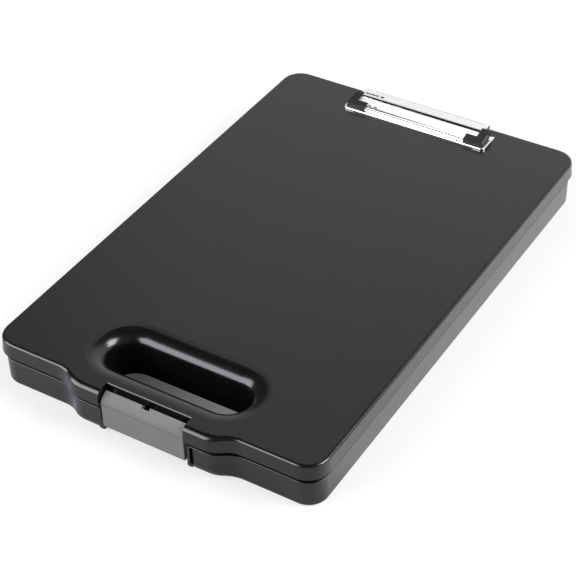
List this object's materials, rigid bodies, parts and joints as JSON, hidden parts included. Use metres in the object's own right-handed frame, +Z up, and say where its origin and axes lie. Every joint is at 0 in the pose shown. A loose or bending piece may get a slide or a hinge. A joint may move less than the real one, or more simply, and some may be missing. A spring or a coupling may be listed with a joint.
{
  "type": "storage clipboard",
  "caption": "Flat storage clipboard case: shallow tray with a hinged lid, a hand hole through the bowed grip, a flip latch in the grip and a sprung paper clip on the lid.",
  "frame": {"origin": "on the surface that the case lies on, under the middle of its plan outline", "axes": "+Z up through the lid, +Y along the case from the grip to the lid hinge, +X across it, to the right as seen from the grip"},
  "size_m": [0.248, 0.388, 0.0445],
  "materials": {
    "lid_black": "satin moulded black",
    "tray_black": "satin moulded black",
    "latch_grey": "matte grey with fine cross ribs",
    "chrome": "polished",
    "pad_black": "matte black",
    "steel": "bright plated"
  },
  "bodies": {
    "base": {"base_tray": "tray_black", "hinge_pin_left": "steel", "hinge_pin_right": "steel", "latch_pin": "steel"},
    "lid": {"lid_shell": "lid_black", "clip_base_plate": "chrome", "clip_hinge_rod": "steel", "clip_spring_left": "steel", "clip_spring_right": "steel", "clip_rivet_left": "steel", "clip_rivet_right": "steel", "rivet_washer_left": "steel", "rivet_washer_right": "steel"},
    "jaw": {"clip_jaw": "chrome", "clip_pad_left": "pad_black", "clip_pad_right": "pad_black"},
    "latch": {"latch_plate": "latch_grey"}
  },
  "joints": [
    {"name": "lid_open", "type": "hinge", "parent": "base", "child": "lid", "pos_m": [0, 0.191, 0.021], "axis": [-1, 0, 0], "range_deg": [0, 105]},
    {"name": "latch_flip", "type": "hinge", "parent": "base", "child": "latch", "pos_m": [0, -0.1868, 0.008], "axis": [1, 0, 0], "range_deg": [0, 90]},
    {"name": "clip_open", "type": "hinge", "parent": "lid", "child": "jaw", "pos_m": [0, 0.1782, 0.0404], "axis": [-1, 0, 0], "range_deg": [0, 25], "stiffness_Nm_per_rad": 0.2, "springref_deg": -45.84, "deforming": ["clip_spring_left", "clip_spring_right"]}
  ]
}
